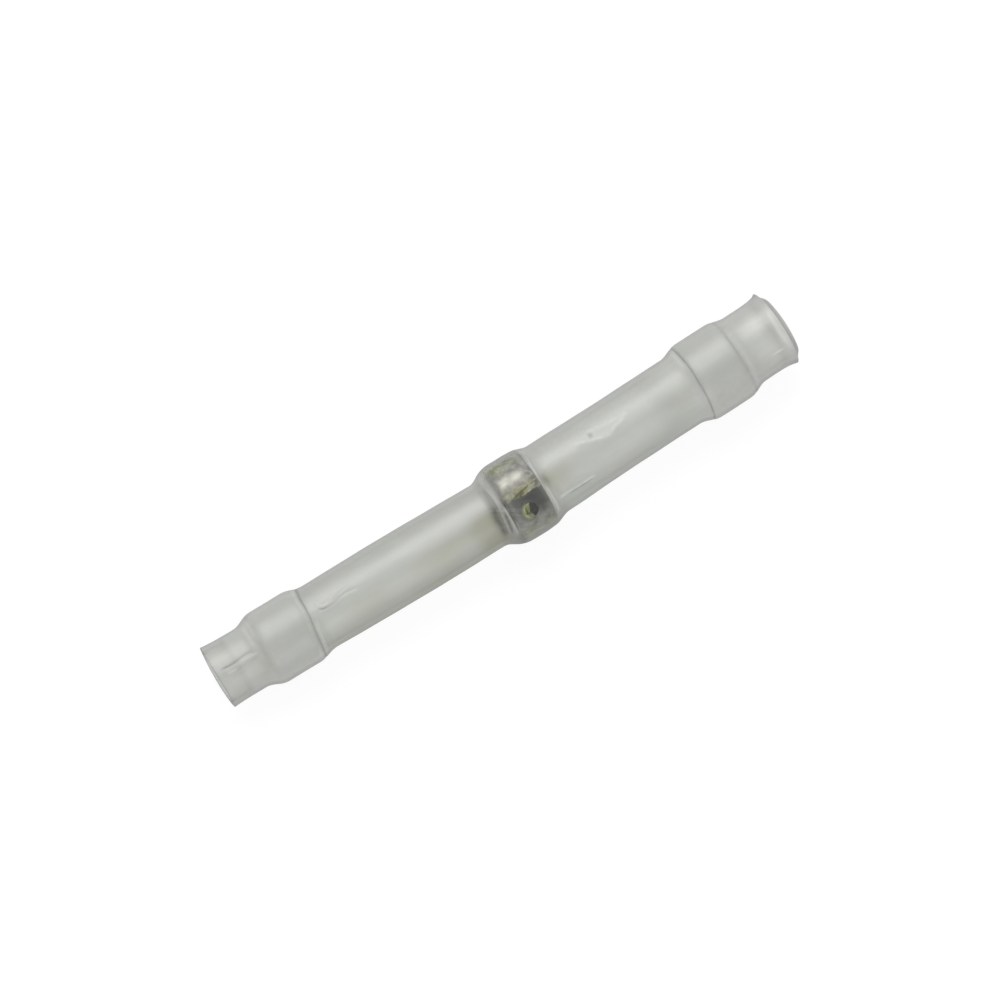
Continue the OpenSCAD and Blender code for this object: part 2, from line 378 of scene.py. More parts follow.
def lines(x, turn, sign, crease_width):
    """Painted shade on creases, folds and hoops, or painted highlight where sign is -1."""
    out = np.zeros_like(x + turn)
    for start, end, degrees, sway, half_width, _, dark in CREASES:
        strength = max(sign * dark, 0)
        out += strength * crease(x, turn, start, end, degrees, sway, half_width * crease_width)
    for path, half_width, _, dark in FOLDS:
        out += max(sign * dark, 0) * fold(x, turn, path, half_width)
    for path, half_width, _, dark in HOOPS:
        out += max(sign * dark, 0) * hoop(x, turn, path, half_width)
    return out


def tones(x, turn, spots, areas, bands=()):
    """Sum of spots, areas and bands, each with its own strength."""
    out = np.zeros_like(x + turn)
    for strength, *spot in spots:
        out += strength * bump_at(x, turn, *spot)
    for strength, span, about in areas:
        out += strength * window(x, *span) * sector(turn, *about)
    for strength, at, half_width, about in bands:
        out += strength * ridge(x, at, half_width) * sector(turn, *about)
    return out


# Spots: strength, place, degrees from the top, half length, half width. Areas: strength, then
# from, to and softness along the tube, then the same in degrees. Bands: strength, place, half
# width, sector
ALL_ALONG = (-23, 23, 1)
ALL_ROUND = (-180, 400, 14)
# Painted shade in the dimple's pit, in the dent by the right mouth and at the solder ring's ends
DARK_SPOTS = (
    (0.62, 6.72, -9.0, 0.10, 0.19),
    (0.22, 19.7, 75.0, 0.40, 0.16),
    (0.48, 2.68, 9.5, 0.32, 0.48),
    (0.30, -0.14, -6.0, 0.06, 0.10),
    (0.30, -0.24, 1.5, 0.06, 0.08),
)
# Painted shade where the wall bends over the solder ring's ends, and below the solder ring
SOLDER_RING_ENDS = (
    (0.34, (-1.30, 0.02, 0.55), (2, 130, 18)),
    (0.12, (-2.60, 0.00, 1.70), (8, 130, 26)),
    (0.42, (-0.32, 0.08, 0.14), (-46, 12, 12)),
    (0.45, (-0.16, 0.12, 0.12), (12, 40, 12)),
    (0.20, (2.00, 2.36, 0.15), (-60, -26, 12)),
    (0.30, (-0.50, 3.30, 0.90), (62, 130, 18)),
)
# Painted shade at the mouths: a dark lip and band at the right one, and a dimmer left one
MOUTH_SHADE = (
    (0.10, (20.90, 21.2, 0.10), ALL_ROUND),
    (0.13, (20.05, 20.90, 0.40), ALL_ROUND),
    (0.11, (20.40, 20.90, 0.25), ALL_ROUND),
    (0.24, (-21.8, -19.4, 0.80), (-14, 44, 14)),
)
# Painted shade, darker towards the low side all along, and on the front before the right seal
LOW_SIDE_SHADE = (
    (0.07, (13.20, 14.10, 0.50), (10, 64, 20)),
    (0.19, ALL_ALONG, (78, 140, 14)),
)
# A line of painted shade round the left mouth
DARK_BANDS = ((0.25, -20.98, 0.05, ALL_ROUND),)
DARK_CREASE_WIDTH = 0.9

# The dimple's rippled floor: a spot of painted shade, then the depth and waves of its ripple
DIMPLE_FLOOR = (0.15, 7.40, -10.5, 0.38, 0.13)
FLOOR_RIPPLE, FLOOR_WAVES_ALONG, FLOOR_WAVES_ROUND = 0.8, 16, 9

# Painted light: highlights on the dimple, burr and right end, and on seals, right neck and shoulders
LIGHT_SPOTS = (
    (0.07, 7.50, 0.0, 0.70, 0.30),
    (0.45, 19.6, 43.0, 0.35, 0.07),
    (0.24, 19.5, -17.0, 0.95, 0.55),
)
LIGHT_AREAS = (
    (0.20, (17.42, 17.72, 0.20), (-30, 78, 24)),
    (0.10, (-17.60, -14.30, 0.40), (36, 112, 24)),
    (0.04, (-17.60, -14.30, 0.40), (-30, 36, 24)),
    (0.10, (14.10, 17.40, 0.40), (34, 124, 24)),
    (0.08, (3.2, 14.0, 1.5), (-46, 0, 34)),
)
LIGHT_BANDS = ((0.18, -18.07, 0.16, (-48, -2, 18)), (0.22, -17.69, 0.13, (-48, -8, 16)))

# Pale runs in the wall between the left shoulder and the sight hole
PALE_RUNS = (
    ((-1.15, 6.0), (-0.36, 18.0), (0.50, 28.5)),
    ((-0.30, 16.0), (0.62, 26.5)),
    ((-0.25, 22.5), (0.45, 35.0)),
)
PALE_RUN_LIGHT, PALE_RUN_HALF = 0.24, 0.040

STAIN_SPOTS = (
    (0.40, 2.75, 13.0, 0.35, 0.35),
    (0.35, -17.9, 34.0, 0.8, 0.8),
    (0.30, 12.6, 24.0, 0.7, 0.5),
    (0.20, -10.6, 40.0, 1.6, 0.7),
)
# The first and third areas reach round to the low side: the left neck is darker and yellower below
STAIN_AREAS = (
    (0.46, (-6.5, -0.6, 4.8), (8, 110, 30)),
    (0.32, (-6.5, -0.6, 4.8), (12, 40, 22)),
    (0.28, (-13.5, -5.0, 3.0), (18, 110, 26)),
    (0.55, (-2.6, -0.6, 1.8), (-4, 74, 26)),
    (0.70, (2.3, 4.6, 2.4), (-4, 34, 24)),
)


def darkness(x, turn):
    """How dark the wall looks: painted shade in creases and where it bends sharply over a ring's
    edge.
    """
    areas = SOLDER_RING_ENDS + MOUTH_SHADE + LOW_SIDE_SHADE
    out = lines(x, turn, 1, DARK_CREASE_WIDTH) + tones(x, turn, DARK_SPOTS, areas, DARK_BANDS)
    for edge, _, _, half_width, dark in RING_EDGES:
        out += dark * ridge(x, edge(turn), half_width)
    strength, *dimple = DIMPLE_FLOOR
    ripple = FLOOR_RIPPLE * np.sin(FLOOR_WAVES_ALONG * x + FLOOR_WAVES_ROUND * turn)
    out += strength * bump_at(x, turn, *dimple) * (1 + ripple)
    return np.clip(out, 0, 1)


def lightness(x, turn):
    """Painted light on ridges and folds that catch the light and on pale patches, and pale runs."""
    out = lines(x, turn, -1, 1.0) + tones(x, turn, LIGHT_SPOTS, LIGHT_AREAS, LIGHT_BANDS)
    for path in PALE_RUNS:
        out += PALE_RUN_LIGHT * fold(x, turn, path, PALE_RUN_HALF)
    for strength, edge, beside, half_width, about in EDGE_LIGHT_STRIPS:
        out += strength * ridge(x, edge(turn) + beside, half_width) * sector(turn, *about)
    return np.clip(out, 0, 1)


def stain(x, turn):
    """Flux stain beside the solder ring and by the left sealing ring; left neck darker and yellower
    below.
    """
    return np.clip(tones(x, turn, STAIN_SPOTS, STAIN_AREAS), 0, 1)


# Places of the mesh's loops along the tube: the plain step, and finer (from, to, step) zones
OUTSIDE_STEP = 0.22
OUTSIDE_ZONES = (
    (-21, -20.7, 0.04), (-20.7, -18.1, 0.10), (-18.1, -17.6, 0.06), (-14.8, -14.0, 0.035),
    (-13.5, -10.8, 0.10), (-1.2, -0.1, 0.03), (-0.1, 2.3, 0.12), (2.3, 2.8, 0.035),
    (2.8, 5.9, 0.12), (6.3, 6.9, 0.05), (6.9, 8.1, 0.10), (13.9, 14.4, 0.035),
    (17.2, 17.7, 0.035), (19.2, 20.3, 0.10), (20.3, 20.5, 0.05), (20.5, 21, 0.03),
)
INSIDE_STEP = 0.45
INSIDE_ZONES = (
    (-18.4, -17.0, 0.10), (-15.1, -13.8, 0.10), (-1.3, 0.5, 0.08), (1.7, 3.1, 0.08),
    (13.6, 14.9, 0.10), (16.7, 18.0, 0.10), (20.4, 21, 0.08),
)
LEAST_STEP = 0.02
HAIR = 1e-6

# Steps in degrees round the tube: (from, to, step), finest where the creases are
TURN_ZONES = ((-85, -25, 2.0), (-25, 62, 0.9), (62, 105, 2.0), (105, 275, 5.0))


def stations(zones, coarse):
    """Places along the tube, coarse apart, and finer in the given zones."""
    out = []
    place = -HALF_LEN
    while place < HALF_LEN - HAIR:
        out.append(place)
        step = coarse
        for start, end, fine in zones:
            if start - HAIR <= place < end:
                step = min(step, fine)
            elif place < start < place + step:
                step = max(start - place, LEAST_STEP)
        place += step
    return np.array(out + [HALF_LEN])


def shell(name, loops):
    """Closed mesh object through loops of points in mm, each of the same count."""
    count = len(loops[0])
    points = np.concatenate(loops) * MM
    this = np.arange(count)
    following = (this + 1) % count
    faces = []
    for i in range(len(loops)):
        a, b = i * count, ((i + 1) % len(loops)) * count
        faces.append(np.stack([a + this, b + this, b + following, a + following], 1))
    mesh = bpy.data.meshes.new(name)
    mesh.from_pydata(points.tolist(), [], np.concatenate(faces).tolist())
    mesh.polygons.foreach_set("use_smooth", [True] * len(mesh.polygons))
    mesh.update()
    thing = bpy.data.objects.new(name, mesh)
    bpy.context.scene.collection.objects.link(thing)
    work = bmesh.new()
    work.from_mesh(mesh)
    bmesh.ops.recalc_face_normals(work, faces=work.faces)
    work.to_mesh(mesh)
    work.free()
    return thing


outside_x = stations(OUTSIDE_ZONES, OUTSIDE_STEP)
inside_x = stations(INSIDE_ZONES, INSIDE_STEP)
around = np.radians(np.concatenate([np.arange(*zone) for zone in TURN_ZONES]))
measures = {"darkness": darkness, "lightness": lightness, "stain": stain}
looks = {look: [] for look in measures}
loops = []
for place in outside_x:
    here = np.full_like(around, place)
    for look, measure in measures.items():
        looks[look].append(measure(here, around))
    r = skin_r(here) + marks(here, around) + nips(here, around)
    if place > BEAD_X - LIP_WAVE_RUN:
        wave = LIP_WAVE * np.sin(LIP_WAVES * around + LIP_WAVE_PHASE)
        r = r + wave * (place - BEAD_X + LIP_WAVE_RUN)
    loops.append(bend(here, around, r))
for place in inside_x[::-1]:
    here = np.full_like(around, place)
    loops.append(bend(here, around, seen_bore_r(here) + marks(here, around)))
sleeve = shell("sleeve_tube", loops)
plain_inside = np.zeros(len(inside_x) * len(around))
for look, values in looks.items():
    layer = sleeve.data.attributes.new(look, "FLOAT", "POINT")
    layer.data.foreach_set("value", np.concatenate(values + [plain_inside]))


def node(tree, kind, **sockets):
    """New node of a kind, with its properties and input sockets set or linked by name."""
    made = tree.nodes.new(kind)
    for key, value in sockets.items():
        if hasattr(made, key) and key not in made.inputs:
            setattr(made, key, value)
            continue
        name = int(key[1:]) if key[0] == "i" and key[1:].isdigit() else key.replace("_", " ")
        socket = made.inputs[name]
        if isinstance(value, bpy.types.NodeSocket):
            tree.links.new(value, socket)
        else:
            socket.default_value = value
    return made


def calc(tree, operation, a, b=0.0, c=0.0, clamp=False):
    """Math node's result."""
    made = node(tree, "ShaderNodeMath", operation=operation, use_clamp=clamp, i0=a, i1=b, i2=c)
    return made.outputs[0]


def product(tree, first, *others):
    """Product of two or more values."""
    for other in others:
        first = calc(tree, "MULTIPLY", first, other)
    return first


def plus(tree, base, value, factor, clamp=False):
    """Base with a value times a factor added to it."""
    return calc(tree, "MULTIPLY_ADD", value, factor, base, clamp)


def ease(tree, value, start, end, low=0.0, high=1.0):
    """Smooth step of a value between two bounds."""
    made = node(
        tree, "ShaderNodeMapRange", interpolation_type="SMOOTHSTEP", Value=value,
        From_Min=start, From_Max=end, To_Min=low, To_Max=high,
    )
    return made.outputs[0]


def ease_mm(tree, value, start, end, low=0.0, high=1.0):
    """Smooth step between two places in mm."""
    return ease(tree, value, start * MM, end * MM, low, high)


def between(tree, x, start, end, soft):
    """1 between two places in mm along the tube and 0 outside them, with soft ends."""
    rise = ease_mm(tree, x, start - soft / 2, start + soft / 2)
    return product(tree, rise, ease_mm(tree, x, end + soft / 2, end - soft / 2))


def mix_colour(tree, factor, a, b, blend="MIX"):
    """Mix of two colours."""
    made = node(tree, "ShaderNodeMix", data_type="RGBA", blend_type=blend, i0=factor, i6=a, i7=b)
    return made.outputs[2]


def look_of(tree, name):
    """Value that a mesh stores at its points under a name."""
    return node(tree, "ShaderNodeAttribute", attribute_name=name).outputs["Fac"]


def noise(tree, where, scale, detail, roughness=0.55):
    """Noise value at a scale per metre."""
    made = node(
        tree, "ShaderNodeTexNoise", Vector=where, Scale=scale, Detail=detail, Roughness=roughness,
    )
    return made.outputs[0]


def relief_of(tree, height, strength, depth):
    """Normal of a fine relief, with its depth in metres."""
    return node(tree, "ShaderNodeBump", Strength=strength, Distance=depth, Height=height).outputs[0]


def new_material(name):
    """Empty node material, with its tree and its output."""
    material = bpy.data.materials.new(name)
    material.use_nodes = True
    tree = material.node_tree
    tree.nodes.clear()
    return material, tree, tree.nodes.new("ShaderNodeOutputMaterial")


def place_on(tree):
    """Object coordinates in a material, whole and as x, y and z."""
    where = tree.nodes.new("ShaderNodeTexCoord").outputs["Object"]
    px, py, pz = node(tree, "ShaderNodeSeparateXYZ", Vector=where).outputs
    return where, px, py, pz


def dress(thing, material, slot, *nodes):
    """Gives a piece its material and its body, and hides the CAD nodes it stands for; slot is not
    used.
    """
    thing.data.materials.clear()
    thing.data.materials.append(material)
    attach(thing, "root")
    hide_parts(*nodes)


SLEEVE_GREY = (0.606, 0.614, 0.587, 1)
SLEEVE_GREEN = (0.574, 0.588, 0.545, 1)
SLEEVE_DARK = (0.045, 0.046, 0.040, 1)
SLEEVE_LIGHT = (0.88, 0.89, 0.87, 1)
SLEEVE_STAIN = (0.36, 0.36, 0.262, 1)
SLEEVE_TINT = (0.925, 0.93, 0.918, 1)
SLEEVE_VEIL_GREY = (0.50, 0.50, 0.47, 1)
SLEEVE_RIM = (0.25, 0.255, 0.24, 1)
SHINE_WHITE = (1, 1, 1, 1)

# Stretches along the tube: from, to, softness
OVER_SOLDER = (-0.30, 2.45, 0.45)
BY_SOLDER = ((-0.62, -0.24, 0.3), (2.37, 2.75, 0.2))
OVER_SEALS = ((-17.9, -14.4, 0.4), (14.15, 17.5, 0.4))
LEFT_OF_SEAL = (-19.45, -17.75, 0.5)
RIGHT_OF_SEAL, RIGHT_OF_SEAL_SHARE = (17.55, 19.7, 0.9), 0.5
BEFORE_SEAL_RISE, BEFORE_SEAL_FALL = (11.0, 13.8), (14.3, 14.0)
MOUTH_RISE = (19.8, 20.6)

# Haze: how much of the wall's light is scattered, by stretch
HAZE_NECK = 0.325
HAZE_SEAL = 0.32
HAZE_SOLDER = 0.015
HAZE_SHOULDER = 0.52
HAZE_MOUTH = 0.62
HAZE_RIM = 0.30
HAZE_DARK = 0.65
HAZE_LIGHT = 0.45
HAZE_STAIN = 0.19
HAZE_MOST = 0.92
LEAST_SLOPE = 0.12
RIM_FACING = (0.44, 0.74)

# Noises: scale per metre, detail, roughness. Their effects: from, to, low, high
PATCHES = (260, 3)
STREAKS = (1500, 2)
STREAK_STRETCH = (0.12, 1, 1)
FLECKS = (2600, 3, 0.7)
ORANGE_PEEL, PEEL_SHARE = (1800, 2), 0.6
DARK_BY_FLECK = (0.32, 0.66, 0.88, 1.08)
LIGHT_BY_FLECK = (0.34, 0.64, 1.15, 0.75)
HALO_BY_FLECK = (0.3, 0.7, 0.13, 0.21)
HAZE_BY_PATCH = (0.3, 0.7, 0.91, 1.09)
HAZE_BY_STREAK = (0.3, 0.7, 0.96, 1.04)
GREEN_BY_PATCH = (0.35, 0.65)

HALO_GREY = 0.45
# Painted light: how much paler the right neck and the right end are, and where that rises
NECK_PAINTED_LIGHT, NECK_PAINTED_LIGHT_RISE = 0.05, (2.4, 7.0)
END_PAINTED_LIGHT, END_PAINTED_LIGHT_RISE = 0.10, (17.2, 18.4)
EDGE_LOSS, SEAL_EDGE_GAIN = 0.39, 0.2
RIM_SHADE = 0.52
GLOSS_SHARE = 0.054
GLOSS_SOLDER = 0.018
GLOSS_ROUGHNESS = 0.45
BODY_ROUGHNESS = 0.5
BODY_SHINE = 0.1
RELIEF_STRENGTH, RELIEF_DEPTH = 0.5, 0.000004

sleeve_material, tree, out = new_material("hazy_sleeve")
where, px, py, pz = place_on(tree)
over_solder = between(tree, px, *OVER_SOLDER)
by_solder = calc(tree, "MAXIMUM", *(between(tree, px, *span) for span in BY_SOLDER))
over_seal = calc(tree, "MAXIMUM", *(between(tree, px, *span) for span in OVER_SEALS))
right_of_seal = product(tree, between(tree, px, *RIGHT_OF_SEAL), RIGHT_OF_SEAL_SHARE)
by_seal = calc(tree, "MAXIMUM", between(tree, px, *LEFT_OF_SEAL), right_of_seal)
before_seal = product(
    tree, ease_mm(tree, px, *BEFORE_SEAL_RISE), ease_mm(tree, px, *BEFORE_SEAL_FALL),
)
by_seal = calc(tree, "MAXIMUM", by_seal, before_seal)
at_mouth = ease_mm(tree, px, *MOUTH_RISE)

patches = noise(tree, where, *PATCHES)
drawn = node(tree, "ShaderNodeMapping", Vector=where, Scale=STREAK_STRETCH).outputs[0]
streaks = noise(tree, drawn, *STREAKS)
flecks = noise(tree, where, *FLECKS)
dark_flecks = ease(tree, flecks, *DARK_BY_FLECK)
dark = calc(tree, "MULTIPLY", look_of(tree, "darkness"), dark_flecks, clamp=True)
light = product(tree, look_of(tree, "lightness"), ease(tree, flecks, *LIGHT_BY_FLECK))
stained = look_of(tree, "stain")
facing = node(tree, "ShaderNodeLayerWeight", Blend=0.5).outputs["Facing"]
rim = ease(tree, facing, *RIM_FACING)

haze = plus(tree, HAZE_NECK, over_solder, HAZE_SOLDER - HAZE_NECK)
haze = plus(tree, haze, over_seal, HAZE_SEAL - HAZE_NECK)
haze = plus(tree, haze, by_seal, HAZE_SHOULDER - HAZE_NECK)
haze = plus(tree, haze, by_solder, ease(tree, flecks, *HALO_BY_FLECK))
haze = plus(tree, haze, at_mouth, HAZE_MOUTH - HAZE_NECK)
haze = product(
    tree, haze, ease(tree, patches, *HAZE_BY_PATCH), ease(tree, streaks, *HAZE_BY_STREAK),
)
haze = plus(tree, haze, dark, HAZE_DARK)
haze = plus(tree, haze, light, HAZE_LIGHT)
haze = plus(tree, haze, rim, HAZE_RIM)
haze = plus(tree, haze, stained, HAZE_STAIN)
haze = calc(tree, "MINIMUM", haze, HAZE_MOST)

# Light crosses more of the wall where it is seen on edge, as in clouded glass
slope = calc(tree, "MAXIMUM", calc(tree, "SUBTRACT", 1.0, facing), LEAST_SLOPE)
through = calc(tree, "POWER", calc(tree, "SUBTRACT", 1.0, haze), calc(tree, "DIVIDE", 1.0, slope))
haze = calc(tree, "SUBTRACT", 1.0, through)

colour = mix_colour(tree, ease(tree, patches, *GREEN_BY_PATCH), SLEEVE_GREY, SLEEVE_GREEN)
colour = mix_colour(tree, stained, colour, SLEEVE_STAIN)
# Grey along the solder bulge's outline seen on edge, and painted shade in a halo by the ring's ends
grey_veil = calc(
    tree, "MAXIMUM", product(tree, over_solder, rim), product(tree, by_solder, HALO_GREY),
)
colour = mix_colour(tree, grey_veil, colour, SLEEVE_VEIL_GREY)
# Painted light makes the wall paler, also on the right neck and end, and painted shade darker
painted_paleness = plus(tree, light, ease_mm(tree, px, *NECK_PAINTED_LIGHT_RISE), NECK_PAINTED_LIGHT)
painted_paleness = plus(tree, painted_paleness, ease_mm(tree, px, *END_PAINTED_LIGHT_RISE), END_PAINTED_LIGHT)
colour = mix_colour(tree, painted_paleness, colour, SLEEVE_LIGHT)
colour = mix_colour(tree, dark, colour, SLEEVE_DARK)
edge_loss = plus(tree, EDGE_LOSS, over_seal, -SEAL_EDGE_GAIN * EDGE_LOSS)
colour = mix_colour(tree, product(tree, facing, edge_loss), colour, SLEEVE_DARK)
colour = mix_colour(tree, product(tree, rim, RIM_SHADE), colour, SLEEVE_RIM)

height = plus(tree, streaks, noise(tree, where, *ORANGE_PEEL), PEEL_SHARE)
relief = relief_of(tree, height, RELIEF_STRENGTH, RELIEF_DEPTH)
body = node(
    tree, "ShaderNodeBsdfPrincipled", Base_Color=colour, Roughness=BODY_ROUGHNESS, Normal=relief,
    Specular_IOR_Level=BODY_SHINE,
)
clear = node(tree, "ShaderNodeBsdfTransparent", Color=SLEEVE_TINT)
wall = node(tree, "ShaderNodeMixShader", i0=haze, i1=clear.outputs[0], i2=body.outputs[0])
shine = node(
    tree, "ShaderNodeBsdfGlossy", Color=SHINE_WHITE, Roughness=GLOSS_ROUGHNESS, Normal=relief,
)
gloss = plus(tree, GLOSS_SHARE, over_solder, GLOSS_SOLDER - GLOSS_SHARE)
skin = node(tree, "ShaderNodeMixShader", i0=gloss, i1=wall.outputs[0], i2=shine.outputs[0])
tree.links.new(skin.outputs[0], out.inputs[0])
dress(sleeve, sleeve_material, "sleeve_tube", "heat_shrink_sleeve")


# Sealing rings: two short rings of milky hot-melt plastic, cut from tube, that lie inside the
# sleeve near its mouths. Nothing fixes them but the sleeve shrunk on them.
SEAL_WALL = 0.4
SEEN_GAP = 0.03
SEAL_ROUND = 0.07
SEAL_SLICES = 24
BORE_SLICES = 8
CORNER_STEPS = 5
LEFT_SEAL_TO = -14.45
EDGE_SET_BACK = 0.2
even_turns = np.radians(np.arange(0, 360, 3))


def left_slant(turn):
    """How far the left ring's inner edge lies beyond its mean place, under its line in the wall."""
    return left_edge(turn) - EDGE_SET_BACK - LEFT_SEAL_TO


# Piece, CAD node, from, to, outer radius, slant of the edge at its right
SEALS = (
    ("seal_left", "sealing_ring_left", -17.7, LEFT_SEAL_TO, 2.2, left_slant),
    ("seal_right", "sealing_ring_right", 14.25, 17.35, 2.435, None),
)
SEAL_MILK = (0.872, 0.877, 0.860, 1)
SEAL_SHADE = (0.842, 0.848, 0.825, 1)
SEAL_CLOUDS, SHADE_BY_CLOUD = (500, 3), (0.35, 0.65)
SEAL_GRAIN, SEAL_RELIEF = (1500, 2), 0.000005
SEAL_OPACITY = 0.85
SEAL_GLOW, SEAL_GLOW_DEPTH = 0.5, 0.0008


def make_ring(name, x_from, x_to, outer, inner, edge_r, slices, angles, stretch=None):
    """Ring in the bent tube, its outside and bore given as radii by place and turn."""
    corner = np.linspace(0, math.pi / 2, CORNER_STEPS)
    edge = [(edge_r * (1 - math.sin(c)), edge_r * (1 - math.cos(c))) for c in corner]
    middle = (x_from + edge_r, x_to - edge_r)
    rows = [(x_from + back, depth, outer, -1) for back, depth in edge[::-1]]
    rows += [(x, 0.0, outer, -1) for x in np.linspace(*middle, slices)[1:-1]]
    rows += [(x_to - back, depth, outer, -1) for back, depth in edge]
    rows += [(x_to - back, depth, inner, 1) for back, depth in edge[::-1]]
    rows += [(x, 0.0, inner, 1) for x in np.linspace(*middle[::-1], BORE_SLICES)[1:-1]]
    rows += [(x_from + back, depth, inner, 1) for back, depth in edge]
    made = []
    for x, depth, radius, inwards in rows:
        place = np.full_like(angles, x)
        if stretch:
            place = place + stretch(angles) * share(x, x_from, x_to - x_from)
        made.append(bend(place, angles, radius(place, angles) + inwards * depth))
    return shell(name, made)


for name, cad_node, x_from, x_to, seal_r, slant in SEALS:
    seal = make_ring(
        name, x_from, x_to,
        lambda x, turn: tube_r(x) + marks(x, turn) - SEEN_WALL - SEEN_GAP,
        lambda x, turn, r=seal_r - SEAL_WALL: r + 0 * turn,
        SEAL_ROUND, SEAL_SLICES, even_turns, slant,
    )
    seal_material, tree, out = new_material(name + "_milky")
    where = place_on(tree)[0]
    clouds = ease(tree, noise(tree, where, *SEAL_CLOUDS), *SHADE_BY_CLOUD)
    relief = relief_of(tree, noise(tree, where, *SEAL_GRAIN), RELIEF_STRENGTH, SEAL_RELIEF)
    body = node(
        tree, "ShaderNodeBsdfPrincipled", Normal=relief, Roughness=BODY_ROUGHNESS,
        Base_Color=mix_colour(tree, clouds, SEAL_MILK, SEAL_SHADE), Alpha=SEAL_OPACITY,
        Subsurface_Weight=SEAL_GLOW, Subsurface_Radius=(1, 1, 1), Subsurface_Scale=SEAL_GLOW_DEPTH,
    )
    tree.links.new(body.outputs[0], out.inputs[0])
    dress(seal, seal_material, "sealing_ring", cad_node)


# Solder ring: a short ring of soft solder wire metal with a round sight hole, dull and stained by
# flux, with a crust of dried flux across it. The sleeve, shrunk on it, holds it in place.
SOLDER_R = 2.465
SOLDER_SEEN_R = 2.70
SOLDER_BORE_R = 2.045
SOLDER_FROM, SOLDER_TO = -0.3, 2.4
SOLDER_ROUND = 0.12
SOLDER_SLICES = 40
SOLDER_TURN_STEP = 1.5
HOLE_X, HOLE_TURN, HOLE_R = 1.05, math.radians(35.5), 0.455
HOLE_SIDES = 48
CUTTER_DEPTH = 2.0
CRUST_TURN, CRUST_HALF, CRUST_PROUD, CRUST_SECTOR = 6.5, 0.11, 0.030, (-25, 45, 14)
DENT_DEPTH, FINE_DENT_DEPTH = 0.011, 0.009
LEFT_DROP, LEFT_DROP_RUN = 0.10, 0.7
RIGHT_DROP, RIGHT_DROP_RUN = 0.06, 0.5


def solder_skin(x, turn):
    """Radius of the solder ring's outside, with its dents and the crust's wavy low edge."""
    r = np.minimum(tube_r(x) - SEEN_WALL - SEEN_GAP, SOLDER_SEEN_R) + 0 * turn
    crust_at = math.radians(CRUST_TURN) + 0.05 * np.sin(4.5 * x + 0.5) + 0.03 * np.sin(11 * x)
    off = ((turn - crust_at + np.pi) % (2 * np.pi) - np.pi) * SOLDER_R / CRUST_HALF
    r = r - CRUST_PROUD * (1 - np.exp(-off ** 2)) * sector(turn, *CRUST_SECTOR)
    r = r - DENT_DEPTH * (1 + np.sin(5 * turn + 2 * x))
    r = r - FINE_DENT_DEPTH * (1 + np.sin(9 * turn - 3 * x) * np.sin(2 * x))
    r = r - LEFT_DROP * (climb(x, SOLDER_FROM, LEFT_DROP_RUN, -1.0) + 1)
    return r - RIGHT_DROP * climb(x, SOLDER_TO, RIGHT_DROP_RUN, 1.0)


solder = make_ring(
    "solder", SOLDER_FROM, SOLDER_TO, solder_skin, lambda x, turn: SOLDER_BORE_R + 0 * turn,
    SOLDER_ROUND, SOLDER_SLICES, np.radians(np.arange(0, 360, SOLDER_TURN_STEP)),
)
bpy.ops.mesh.primitive_cylinder_add(
    vertices=HOLE_SIDES, radius=HOLE_R * MM, depth=CUTTER_DEPTH * MM,
)
cutter = bpy.context.object
hole_way = Vector((0, -math.sin(HOLE_TURN), math.cos(HOLE_TURN)))
cutter.rotation_euler = hole_way.to_track_quat("Z", "Y").to_euler()
cutter.location = Vector((HOLE_X, 0, 0)) * MM + hole_way * SOLDER_R * MM
cut = solder.modifiers.new("hole", "BOOLEAN")
cut.operation = "DIFFERENCE"
cut.object = cutter
cut.solver = "EXACT"
bpy.context.view_layer.update()
cut_mesh = bpy.data.meshes.new_from_object(
    solder.evaluated_get(bpy.context.evaluated_depsgraph_get())
)
solder.modifiers.clear()
solder.data = cut_mesh
bpy.data.objects.remove(cutter)


def turn_of(tree, py, pz):
    """Angle round the tube, from the top towards the front."""
    return calc(tree, "ARCTAN2", product(tree, py, -1.0), pz)


def ease_turn(tree, value, start, end):
    """Smooth step between two angles in degrees."""
    return ease(tree, value, math.radians(start), math.radians(end))


def in_sector(tree, value, start, end, soft):
    """1 where an angle lies between two bounds in degrees and 0 outside them, with soft ends."""
    rise = ease_turn(tree, value, start - soft / 2, start + soft / 2)
    return product(tree, rise, ease_turn(tree, value, end + soft / 2, end - soft / 2))


def reach(tree, a, b):
    """Distance from the middle, from two sides at right angles."""
    return calc(tree, "SQRT", calc(tree, "ADD", product(tree, a, a), product(tree, b, b)))


SOLDER_HIGHLIGHT = (0.372, 0.361, 0.330, 1)
SOLDER_DULL = (0.34, 0.333, 0.308, 1)
SOLDER_DARK = (0.115, 0.115, 0.109, 1)
SOLDER_BLACK = (0.036, 0.036, 0.034, 1)
SOLDER_GREY = (0.34, 0.34, 0.32, 1)
BORE_SHADE = (0.012, 0.012, 0.010, 1)
CRUST_PALE = (0.45, 0.435, 0.33, 1)
CRUST_OLIVE = (0.29, 0.285, 0.125, 1)
CRUST_DARK = (0.085, 0.088, 0.03, 1)
STAIN_GREEN = (0.43, 0.44, 0.31, 1)
FLUX_LIGHT = (0.80, 0.82, 0.36, 1)
FLUX_DEEP = (0.42, 0.45, 0.13, 1)

# Noises: scale per metre, detail, roughness
WARP = (1400, 3)
GRIT = (4200, 4)
CLOUD = (1500, 5, 0.7)
FLAKE_PATCHES, FLAKE_SPECKS = (2600, 3), (3000, 4)
STAIN_PATCHES = (1100, 4)
DROSS = (3200, 3)
SOLDER_GRAIN, SOLDER_RELIEF = (2200, 3), 0.00002
WARP_TURN = 0.22
WARP_SHADE = 1.6

solder_material, tree, out = new_material("stained_solder")
where, px, py, pz = place_on(tree)
turn = turn_of(tree, py, pz)
warp = noise(tree, where, *WARP)
grit = noise(tree, where, *GRIT)
sway = calc(tree, "SUBTRACT", warp, 0.5)
rough_turn = plus(tree, turn, sway, WARP_TURN)
